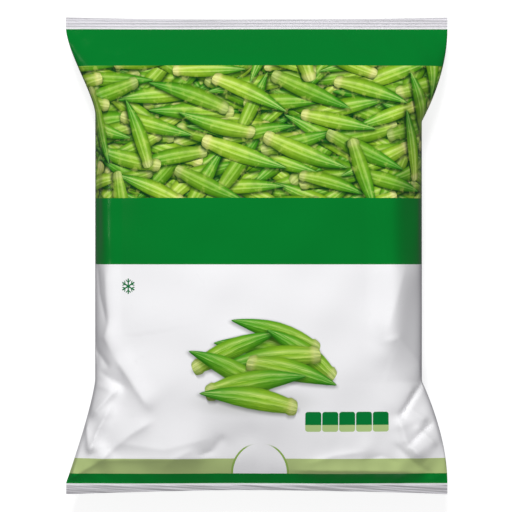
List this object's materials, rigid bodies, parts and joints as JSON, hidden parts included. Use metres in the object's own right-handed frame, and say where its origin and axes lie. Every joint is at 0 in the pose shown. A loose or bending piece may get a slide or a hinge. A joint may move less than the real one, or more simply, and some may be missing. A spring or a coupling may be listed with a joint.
{
  "type": "frozen vegetable pouch",
  "caption": "Sealed pillow pouch of printed film, crimped at both ends and seamed down its back, lying flat and filled with frozen okra pods.",
  "frame": {"origin": "middle of the pouch's bounding box, on the surface that its back lies on", "axes": "+X across the pouch, to the right of its printed front; +Y along it, towards its top seal; +Z out of its printed front"},
  "size_m": [0.24, 0.3, 0.064],
  "materials": {
    "printed_film": "satin printed film",
    "okra_skin": "frosted vegetable skin"
  },
  "bodies": {
    "root": {"film_pouch": "printed_film", "okra_pod_01": "okra_skin", "okra_pod_02": "okra_skin", "okra_pod_03": "okra_skin", "okra_pod_04": "okra_skin", "okra_pod_05": "okra_skin", "okra_pod_06": "okra_skin", "okra_pod_07": "okra_skin", "okra_pod_08": "okra_skin", "okra_pod_09": "okra_skin", "okra_pod_10": "okra_skin", "okra_pod_11": "okra_skin", "okra_pod_12": "okra_skin", "okra_pod_13": "okra_skin", "okra_pod_14": "okra_skin", "okra_pod_15": "okra_skin", "okra_pod_16": "okra_skin", "okra_pod_17": "okra_skin", "okra_pod_18": "okra_skin", "okra_pod_19": "okra_skin", "okra_pod_20": "okra_skin", "okra_pod_21": "okra_skin", "okra_pod_22": "okra_skin", "okra_pod_23": "okra_skin", "okra_pod_24": "okra_skin", "okra_pod_25": "okra_skin", "okra_pod_26": "okra_skin", "okra_pod_27": "okra_skin", "okra_pod_28": "okra_skin", "okra_pod_29": "okra_skin", "okra_pod_30": "okra_skin", "okra_pod_31": "okra_skin", "okra_pod_32": "okra_skin", "okra_pod_33": "okra_skin", "okra_pod_34": "okra_skin", "okra_pod_35": "okra_skin", "okra_pod_36": "okra_skin", "okra_pod_37": "okra_skin", "okra_pod_38": "okra_skin", "okra_pod_39": "okra_skin", "okra_pod_40": "okra_skin", "okra_pod_41": "okra_skin", "okra_pod_42": "okra_skin", "okra_pod_43": "okra_skin", "okra_pod_44": "okra_skin", "okra_pod_45": "okra_skin", "okra_pod_46": "okra_skin", "okra_pod_47": "okra_skin", "okra_pod_48": "okra_skin", "okra_pod_49": "okra_skin", "okra_pod_50": "okra_skin", "okra_pod_51": "okra_skin", "okra_pod_52": "okra_skin", "okra_pod_53": "okra_skin", "okra_pod_54": "okra_skin"}
  },
  "joints": []
}
